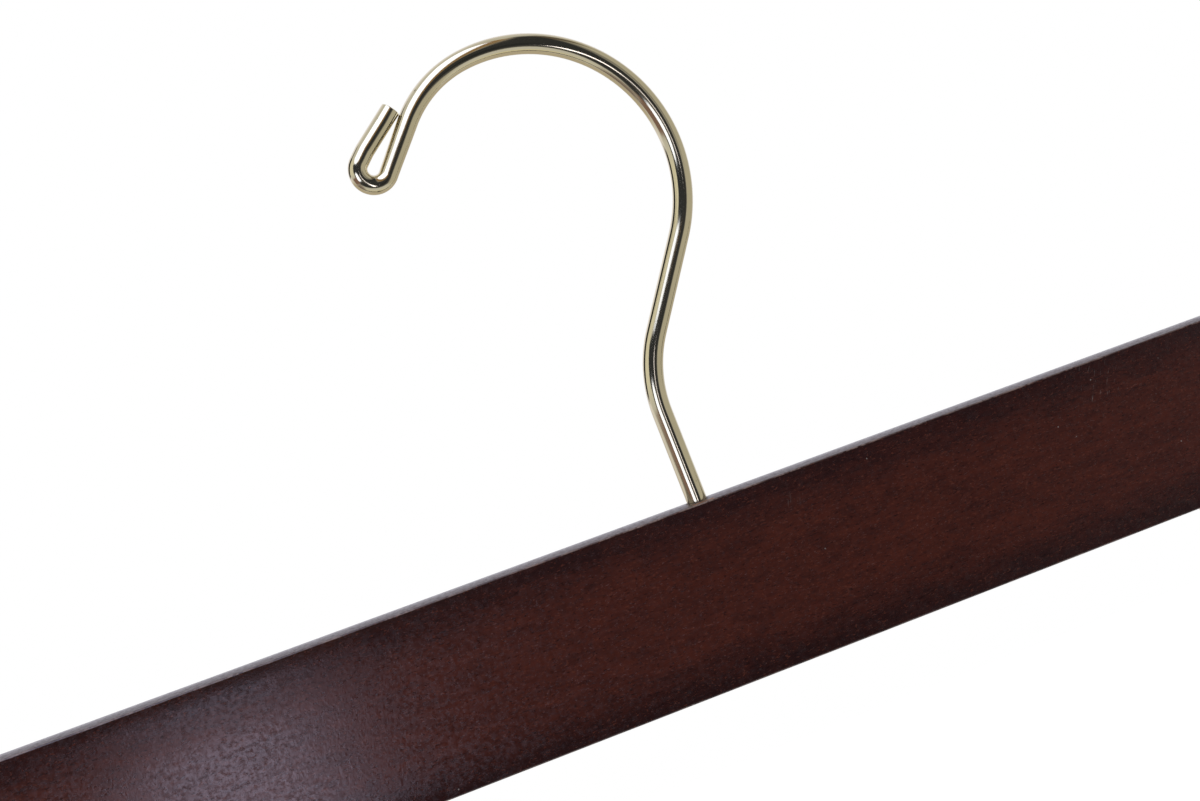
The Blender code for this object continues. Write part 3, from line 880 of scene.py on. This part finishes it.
def jaw_sheet(side, half, clip, pivot):
    """A jaw's bent sheet, with eased edges and pressed finger ribs on its tab."""
    path, foot = jaw_path(side, clip)
    tab = TAB_WIDTH / 2
    corners = [(0, -JAW_DROP), (half, -JAW_DROP), (half, TAB_SHOULDER), (tab, TAB_RISE), (0, TAB_RISE)]
    outline = eased_run(corners, [0, JAW_CORNER, TAB_CORNER, TAB_CORNER, 0], OUTLINE_STEPS)
    total = sum((b - a).length for a, b in zip(path, path[1:]))
    edge = clip.sheet * SHEET_EDGE_SHARE
    rings = []
    for station in stations(total, edge, JAW_CORNER, SHEET_STEP):
        left = station
        for first, second in zip(path, path[1:]):
            span = (second - first).length
            if left <= span or second is path[-1]:
                break
            left -= span
        along = (second - first).normalized()
        at = first + along * left
        outward = Vector((-along.y, along.x)) * (-1 if side > 0 else 1)
        width = half_width_at(outline, at.y)
        depth = clip.sheet / 2 - arc_inset(min(station, total - station), edge)
        ring = []
        for across, deep in slab_section(width, depth, edge, SHEET_COLUMNS, SHEET_ROWS):
            rise = (at.y - foot - RIB_START) / RIB_PITCH
            window = max(0.0, 1 - (abs(across) / RIB_SPAN) ** 6)
            press = RIB_HEIGHT * window * max(0.0, sin(tau * rise)) if 0 < rise < RIBS else 0.0
            spot = at + outward * (press - deep)
            ring.append(pivot + Vector((across, spot.x, spot.y)))
        rings.append(ring)
    return loft("jaw", with_caps(rings)), foot


def ear_mesh(side, inner, outer, clip, pivot, foot):
    """A lug round the hinge's hole that reaches back to the jaw's sheet."""
    def reach(turn):
        toward = side * cos(turn)
        if toward <= 0:
            return EAR_RADIUS
        high = foot if sin(turn) > 0 else PLATE_FLAT_DROP
        across, up = toward, abs(sin(turn))
        slope = (EAR_RADIUS - high) / PLATE_OFFSET
        on_edge = EAR_RADIUS / (up + slope * across)
        return min(on_edge, PLATE_OFFSET / across)

    edge = clip.sheet * EAR_EDGE_SHARE
    hole = clip.ear_hole / 2

    def profile(turn):
        far = reach(turn)
        return eased([(hole, inner), (far, inner), (far, outer), (hole, outer)], edge, EAR_STEPS)

    return turned_mesh("ear", profile, "X", pivot)


def make_jaws(clip, finish):
    for side, (facing, name) in product(SIDE_NAMES, FACINGS):
        body = f"{side}_{name}"
        pivot = pivot_of(side)
        half = middle_and_half(*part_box(f"{body}_jaw"))[1].x
        sheet, foot = jaw_sheet(facing, half, clip, pivot)
        ears = []
        for edge in (-1, 1):
            inner, outer = sorted((edge * (half - clip.sheet), edge * half))
            ears.append(ear_mesh(facing, inner, outer, clip, pivot, foot))
        mesh = carved(sheet, ears, "UNION")
        piece(f"{body}_jaw_plate", mesh, finish, body, f"{body}_jaw", 28)


# Springs: turns, clearances and legs
SPRING_TURNS = 4
SPRING_GAP = 0.0005
SPRING_LEG = 0.0115
SPRING_BEND = 0.0014
CURL_POINTS = 36
BRIDGE_STEPS = 8
LEG_SHARES = (1, 0.75, 0.5, 0.25, 0.1)
RISE_SHARES = (0.1, 0.3, 0.6)
SPRING_CUT_EDGE = 0.0001


def spring_points(half, clip):
    """The spring's centreline: a leg on the front tab, a coil, the bridge on the rear tab, and back."""
    radius, splay = clip.coil / 2, clip.splay
    sweep = tau * SPRING_TURNS + pi - 2 * splay
    span = (clip.spring_wire + SPRING_GAP) * sweep / tau
    count = round(CURL_POINTS * sweep / tau)
    coil = []
    for index in range(count + 1):
        turn = pi + splay + sweep * index / count
        across = -half + span * index / count
        coil.append(Vector((across, radius * cos(turn), radius * sin(turn))))
    front = Vector((0, -sin(splay), cos(splay)))
    rear = Vector((0, sin(splay), cos(splay)))
    leg = [coil[0] + front * SPRING_LEG * share for share in LEG_SHARES]
    rise = [coil[-1] + rear * SPRING_LEG * share for share in RISE_SHARES]
    foot = coil[-1] + rear * (SPRING_LEG - SPRING_BEND)
    for turn in spaced(0, pi / 2, BRIDGE_STEPS):
        rise.append(foot + SPRING_BEND * (rear * sin(turn) + Vector((1 - cos(turn), 0, 0))))
    one_half = leg + coil + rise
    return one_half + [Vector((-point.x, point.y, point.z)) for point in reversed(one_half)]


def make_springs(clip):
    finish = wire_plate("spring_steel", clip.spring, 0.20)
    for side in SIDE_NAMES:
        pivot = pivot_of(side)
        half = middle_and_half(*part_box(f"{side}_spring"))[1].x - clip.spring_wire / 2
        points = [pivot + point for point in spring_points(half, clip)]
        mesh = wire_mesh(f"{side}_spring_coil", points, clip.spring_wire, SPRING_CUT_EDGE, SPRING_SIDES)
        made = piece(f"{side}_spring_coil", mesh, finish, None, f"{side}_spring")
        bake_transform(made)


# Pads: their wall, rounded edges, grip ribs and pocket for the jaw
PAD_STEPS = 4
PAD_WALL = 0.0009
PAD_EDGE = 0.0006
FACE_EDGE_SHARE = 0.5
TOE_EDGE_SHARE = 1.4
LIP_SHARE = 0.35
GRIP_HEIGHT = 0.0004
GRIP_WIDTH = 0.0012
GRIP_PITCH = 0.0022
GRIP_FOOT_ROUND = 0.00012
GRIP_TOP_ROUND = 0.00014
GRIPS = 3
POCKET_CORNER = 0.0003


def pad_mesh(side, box, pivot):
    """A moulded sleeve over a jaw's end: eased edges, half round grip ribs and an open top."""
    low, high = box[0] - pivot, box[1] - pivot
    half = (high.x - low.x) / 2
    grip = min(abs(low.y), abs(high.y)) + GRIP_HEIGHT
    back = max(abs(low.y), abs(high.y))
    middle = (low.z + high.z) / 2
    corners = [(grip, high.z), (back, high.z), (back, low.z), (grip, low.z)]
    radii = [PAD_EDGE * share for share in (FACE_EDGE_SHARE, 1, TOE_EDGE_SHARE, FACE_EDGE_SHARE)]
    for index in range(GRIPS):
        rib = middle + (index - (GRIPS - 1) / 2) * GRIP_PITCH
        corners += [(grip, rib - GRIP_WIDTH / 2), (grip - GRIP_HEIGHT, rib - GRIP_WIDTH / 4),
                    (grip - GRIP_HEIGHT, rib + GRIP_WIDTH / 4), (grip, rib + GRIP_WIDTH / 2)]
        radii += [GRIP_FOOT_ROUND, GRIP_TOP_ROUND, GRIP_TOP_ROUND, GRIP_FOOT_ROUND]
    outline = eased(corners, radii)
    centre = Vector(((grip + back) / 2, middle))
    reach = Vector(((back - grip) / 2, (high.z - low.z) / 2))
    near_half = arc_steps(PAD_EDGE, EDGE_STEPS) + spaced(0, half, PAD_STEPS)[1:]
    rings = []
    for place in near_half + [2 * half - place for place in near_half[-2::-1]]:
        inset = arc_inset(min(place, 2 * half - place), PAD_EDGE)
        ring = []
        for point in outline:
            depth, up = (centre[k] + (point[k] - centre[k]) * (1 - inset / reach[k]) for k in (0, 1))
            ring.append(pivot + Vector((low.x + place, side * depth, up)))
        rings.append(ring)
    near, far = grip + PAD_WALL, back - PAD_WALL
    floor, lip = low.z + PAD_WALL, PAD_EDGE * LIP_SHARE
    pocket = []
    inner = half - PAD_WALL
    for height, grow in ((floor, 0), (high.z - lip, 0), (high.z, lip), (high.z + OVERRUN, lip)):
        corners = [(-inner - grow, near - grow), (inner + grow, near - grow),
                   (inner + grow, far + grow), (-inner - grow, far + grow)]
        soft = eased(corners, POCKET_CORNER + grow / 2)
        pocket.append([pivot + Vector((x, side * y, height)) for x, y in soft])
    return carved(loft("pad", with_caps(rings)), [loft("pocket", pocket)])


def make_pads(clip):
    finish = black_rubber(clip.rubber)
    for side, (facing, name) in product(SIDE_NAMES, FACINGS):
        body = f"{side}_{name}"
        mesh = pad_mesh(facing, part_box(f"{body}_pad"), pivot_of(side))
        piece(f"{body}_pad_rubber", mesh, finish, body, f"{body}_pad", 40)


# Camera: where it stands and how it looks at the hanger
CAMERA_PLACE = (-0.1080, -0.4346, -0.0526)
CAMERA_AZIMUTH = -13.82
CAMERA_ELEVATION = 2.02
CAMERA_ROLL = -18.83
SENSOR_WIDTH = 36.0
CLIP_RANGE = (0.01, 20)

# Lamps: their distance, what they face, the two large softboxes as azimuth, elevation and size, and
# the strip lamp's two parts as elevation, height and power
LAMP_DISTANCE = 1.5
LAMP_FOCUS = (0, 0, -0.08)
KEY_SOFTBOX = (-15, 48, (1.1, 1.1))
REAR_SOFTBOX = (150, 35, (1.2, 1.2))
STRIP_FOCUS = (-0.088, -0.006, -0.109)
STRIP_AZIMUTH = 2.6
STRIP_WIDTH = 0.142
STRIP_LEAN = -2
STRIP_COLOUR = (0.832, 0.817, 1.0)
STRIPS = {"strip_low": (-14.0, 0.475, 0.690), "strip_high": (1.5, 0.342, 0.231)}
WHITE = (1, 1, 1)

# Floor: how far it reaches each way, and its colour
FLOOR_REACH = 6.0
FLOOR_TONE = (0.80, 0.80, 0.80)

# Surroundings that the metal mirrors, each a colour, a soft edge and corners in (azimuth, elevation)
# seen from the hook, with azimuth 0 at the front. A later one covers an earlier one.
BACKDROP = (0.98, 0.97, 1.07)
SOFTBOX = (1.65, 1.80, 2.40)
SURROUNDINGS = {
    "left_wall": ((0.80, 0.78, 0.68), 0.15, ((-118, 4), (-60, 4), (-58, 46), (-118, 46))),
    "right_wall": ((0.52, 0.50, 0.44), 0.08, ((33, -40), (120, -40), (120, 44), (33, 44))),
    "low_back": ((0.54, 0.49, 0.41), 0.12,
                 ((112, -14), (150, -4), (180, -3), (210, -4), (248, -14), (235, -80), (125, -80))),
    "low_room": ((0.74, 0.70, 0.52), 0.12, ((-75, -42), (-75, -84), (75, -84), (75, -42))),
    "pink_low": ((0.30, 0.25, 0.24), 0.10, ((-112, -24), (-62, -24), (-58, -44), (-106, -52))),
    "backdrop_edge": ((0.03, 0.03, 0.03), 0.05, ((-146, 0), (-116, 3), (-100, 48), (-132, 54))),
    "dim_front": ((0.075, 0.075, 0.080), 0.08,
                  ((-58, -30), (-30, -41), (16, -41), (35, -34), (31, 14), (-58, 28))),
    "brown_side": ((0.24, 0.155, 0.135), 0.05, ((-100, -6), (-50, -3), (-42, -12), (-50, -24), (-100, -24))),
    "room_haze": ((0.25, 0.24, 0.23), 0.10, ((34, 4), (50, 2), (56, 40), (36, 45))),
    "brown_arch": ((0.14, 0.115, 0.09), 0.08, ((38, 40), (62, 43), (92, 42), (96, 58), (50, 60))),
    "dark_band": ((0.034, 0.037, 0.046), 0.04, ((-62, 9), (-59, 33), (-25, 25), (2, 14), (20, 2), (10, -1))),
    "dark_room": ((0.034, 0.036, 0.042), 0.05,
                  ((8, -2), (26, 0), (37, 24), (68, 51), (70, 70), (46, 64), (20, 40), (4, 13))),
    "dark_stand": ((0.024, 0.026, 0.030), 0.05, ((4, -3), (25, 0), (22, -26), (0, -30))),
    "dark_floor": ((0.035, 0.036, 0.042), 0.06, ((-44, -19), (-10, -12), (-6, -33), (-36, -35))),
    "high_fringe": ((0.30, 0.19, 0.09), 0.04, ((-8, 18), (5, 11), (48, 61), (72, 83), (-80, 82), (-40, 33))),
    "high_softbox": (SOFTBOX, 0.030,
                     ((-5, 19), (38, 66), (66, 83), (-80, 82), (-58, 51), (-45, 33), (-28, 25))),
    "gap_glow": ((0.13, 0.12, 0.11), 0.04, ((-22, 3), (-6, 0), (-7, -9), (-20, -10))),
    "side_softbox": (SOFTBOX, 0.030, ((-47, -3), (-46, 5), (-40, 8), (-26, 5), (-20, 0), (-21, -9),
                                      (-32, -14), (-44, -16), (-47, -12))),
}


def toward(azimuth, elevation):
    """Unit vector towards a direction; azimuth 0 is the front and 90 the right."""
    a, e = radians(azimuth), radians(elevation)
    return Vector((sin(a) * cos(e), -cos(a) * cos(e), sin(e)))


def make_camera(stage):
    back = toward(CAMERA_AZIMUTH, CAMERA_ELEVATION)
    level = toward(CAMERA_AZIMUTH + 90, 0)
    up = back.cross(level)
    roll = radians(CAMERA_ROLL)
    right = level * cos(roll) + up * sin(roll)
    tilted = back.cross(right)
    data = bpy.data.cameras.new("camera")
    data.lens = stage.lens
    data.sensor_width = SENSOR_WIDTH
    data.sensor_fit = "HORIZONTAL"
    data.clip_start, data.clip_end = CLIP_RANGE
    camera = linked("camera", data)
    turn = Matrix((right, tilted, back)).transposed().to_4x4()
    camera.matrix_world = Matrix.Translation(CAMERA_PLACE) @ turn
    bpy.context.scene.camera = camera


def patch_mask(direction, blur, corners):
    """1 inside a patch of the surroundings with convex corners, fading at its edges."""
    points = [toward(*corner) for corner in corners]
    centre = sum(points, Vector()).normalized()
    depth = None
    for first, second in zip(points, points[1:] + points[:1]):
        normal = first.cross(second).normalized()
        if normal.dot(centre) < 0:
            normal = -normal
        inside = direction.vector("DOT_PRODUCT", normal, "Value")
        depth = inside if depth is None else depth.least(inside)
    return depth.rise(-blur, blur)


def make_world(stage):
    """White to the camera, even light on the surface, and pale walls with softboxes in the metal."""
    world = bpy.data.worlds.new("studio")
    bpy.context.scene.world = world
    finish = Finish(world)
    direction = finish.node("ShaderNodeTexCoord", output="Generated")
    behind = direction.axis("Y").rise(0.15, 0.85)
    mirrored = finish.blend(behind, (stage.walls,) * 3, BACKDROP)
    for colour, blur, corners in SURROUNDINGS.values():
        mirrored = finish.blend(patch_mask(direction, blur, corners), mirrored, colour)
    level = finish.blend(finish.ray("Glossy"), (stage.ambient,) * 3, mirrored)
    level = finish.blend(finish.seen(), level, WHITE)
    sky = finish.node("ShaderNodeBackground", None, {"Color": level, "Strength": 1})
    finish.node("ShaderNodeOutputWorld", None, {"Surface": sky})


def make_lamp(name, azimuth, elevation, size, power, focus=LAMP_FOCUS, lean=0.0, colour=WHITE):
    """A softbox that faces its focus, hidden from the camera and from the metal's mirror."""
    data = bpy.data.lights.new(name, "AREA")
    data.color = colour
    data.shape = "RECTANGLE"
    data.size, data.size_y = size
    data.energy = power
    lamp = linked(name, data)
    direction = toward(azimuth, elevation)
    lamp.location = Vector(focus) + direction * LAMP_DISTANCE
    facing = direction.to_track_quat("Z", "Y").to_matrix().to_4x4()
    lamp.rotation_euler = (Matrix.Rotation(radians(-lean), 4, direction) @ facing).to_euler()
    lamp.visible_camera = False
    lamp.visible_glossy = False
    return lamp


def make_floor(stage):
    """A wide pale floor far below, which shows white and keeps soft shadows."""
    finish = Finish(bpy.data.materials.new("studio_floor"))
    cover = finish.node("ShaderNodeBsdfDiffuse", None, {"Color": FLOOR_TONE})
    glow = finish.blend(finish.seen(), (0, 0, 0), FLOOR_TONE)
    glow = finish.node("ShaderNodeEmission", None, {"Color": glow, "Strength": 1})
    both = finish.node("ShaderNodeAddShader", None, {0: cover, 1: glow})
    finish.node("ShaderNodeOutputMaterial", None, {"Surface": both})
    mesh = bpy.data.meshes.new("studio_floor")
    corners = [(FLOOR_REACH * x, FLOOR_REACH * y) for x, y in ((-1, -1), (1, -1), (1, 1), (-1, 1))]
    mesh.from_pydata([(x, y, -stage.floor_drop) for x, y in corners], [], [(0, 1, 2, 3)])
    mesh.materials.append(finish.owner)
    floor = linked("studio_floor", mesh)
    floor.visible_glossy = False


class HANGER_OT_bar(Operator):
    """Build the stained wooden bar with its drilled holes"""
    bl_idname = "hanger.bar"
    bl_label = "Wooden Bar"

    def execute(self, context):
        make_bar(context.scene.hanger_bar)
        return {"FINISHED"}


class HANGER_OT_hook(Operator):
    """Build the wire hook with its threaded shank and folded tip"""
    bl_idname = "hanger.hook"
    bl_label = "Hook"

    def execute(self, context):
        make_hook(context.scene.hanger_hook)
        return {"FINISHED"}


class HANGER_OT_fasteners(Operator):
    """Build the washer and the nut that hold the hook"""
    bl_idname = "hanger.fasteners"
    bl_label = "Washer and Nut"

    def execute(self, context):
        make_fasteners(context.scene.hanger_hook)
        return {"FINISHED"}


class HANGER_OT_rails(Operator):
    """Build the two wire rails under the bar"""
    bl_idname = "hanger.rails"
    bl_label = "Clip Rails"

    def execute(self, context):
        make_rails(context.scene.hanger_clip, context.scene.hanger_hook.plate)
        return {"FINISHED"}


class HANGER_OT_jaws(Operator):
    """Build the pressed jaws and the hinge tubes that carry them"""
    bl_idname = "hanger.jaws"
    bl_label = "Jaws and Hinge Tubes"

    def execute(self, context):
        finish = pressed_plate(context.scene.hanger_hook.plate)
        make_tubes(context.scene.hanger_clip, finish)
        make_jaws(context.scene.hanger_clip, finish)
        return {"FINISHED"}


class HANGER_OT_springs(Operator):
    """Build the clips' torsion springs"""
    bl_idname = "hanger.springs"
    bl_label = "Springs"

    def execute(self, context):
        make_springs(context.scene.hanger_clip)
        return {"FINISHED"}


class HANGER_OT_pads(Operator):
    """Build the rubber pads on the jaws"""
    bl_idname = "hanger.pads"
    bl_label = "Rubber Pads"

    def execute(self, context):
        make_pads(context.scene.hanger_clip)
        return {"FINISHED"}


class HANGER_OT_stage(Operator):
    """Set up the camera, the lamps, the surroundings and the floor"""
    bl_idname = "hanger.stage"
    bl_label = "Stage"

    def execute(self, context):
        stage = context.scene.hanger_stage
        context.scene.view_settings.view_transform = "Standard"
        make_camera(stage)
        make_world(stage)
        make_floor(stage)
        make_lamp("key_softbox", *KEY_SOFTBOX, stage.key)
        make_lamp("rear_softbox", *REAR_SOFTBOX, stage.fill)
        for name, (elevation, height, power) in STRIPS.items():
            lamp = make_lamp(name, STRIP_AZIMUTH, elevation, (STRIP_WIDTH, height), power,
                             STRIP_FOCUS, STRIP_LEAN, STRIP_COLOUR)
            lamp.visible_glossy = True
        return {"FINISHED"}


OPERATORS = (
    HANGER_OT_bar, HANGER_OT_hook, HANGER_OT_fasteners, HANGER_OT_rails,
    HANGER_OT_jaws, HANGER_OT_springs, HANGER_OT_pads, HANGER_OT_stage,
)
SETTINGS = {
    "hanger_bar": BarSettings,
    "hanger_hook": HookSettings,
    "hanger_clip": ClipSettings,
    "hanger_stage": StageSettings,
}


class HANGER_PT_sidebar(Panel):
    """Lists the hanger's sizes, colours and build steps"""
    bl_label = "Wooden Skirt Hanger"
    bl_idname = "HANGER_PT_sidebar"
    bl_space_type = "VIEW_3D"
    bl_region_type = "UI"
    bl_category = "Hanger"

    def draw(self, context):
        for group, kind in SETTINGS.items():
            box = self.layout.box()
            for name in kind.__annotations__:
                box.prop(getattr(context.scene, group), name)
        for operator in OPERATORS:
            self.layout.operator(operator.bl_idname)


def register():
    for kind in (*SETTINGS.values(), *OPERATORS, HANGER_PT_sidebar):
        bpy.utils.register_class(kind)
    for group, kind in SETTINGS.items():
        setattr(bpy.types.Scene, group, PointerProperty(type=kind))


def unregister():
    for group in SETTINGS:
        delattr(bpy.types.Scene, group)
    for kind in (HANGER_PT_sidebar, *reversed(OPERATORS), *reversed(SETTINGS.values())):
        bpy.utils.unregister_class(kind)


def main():
    register()
    for operator in OPERATORS:
        group, name = operator.bl_idname.split(".")
        getattr(getattr(bpy.ops, group), name)()


if __name__ == "__main__":
    main()
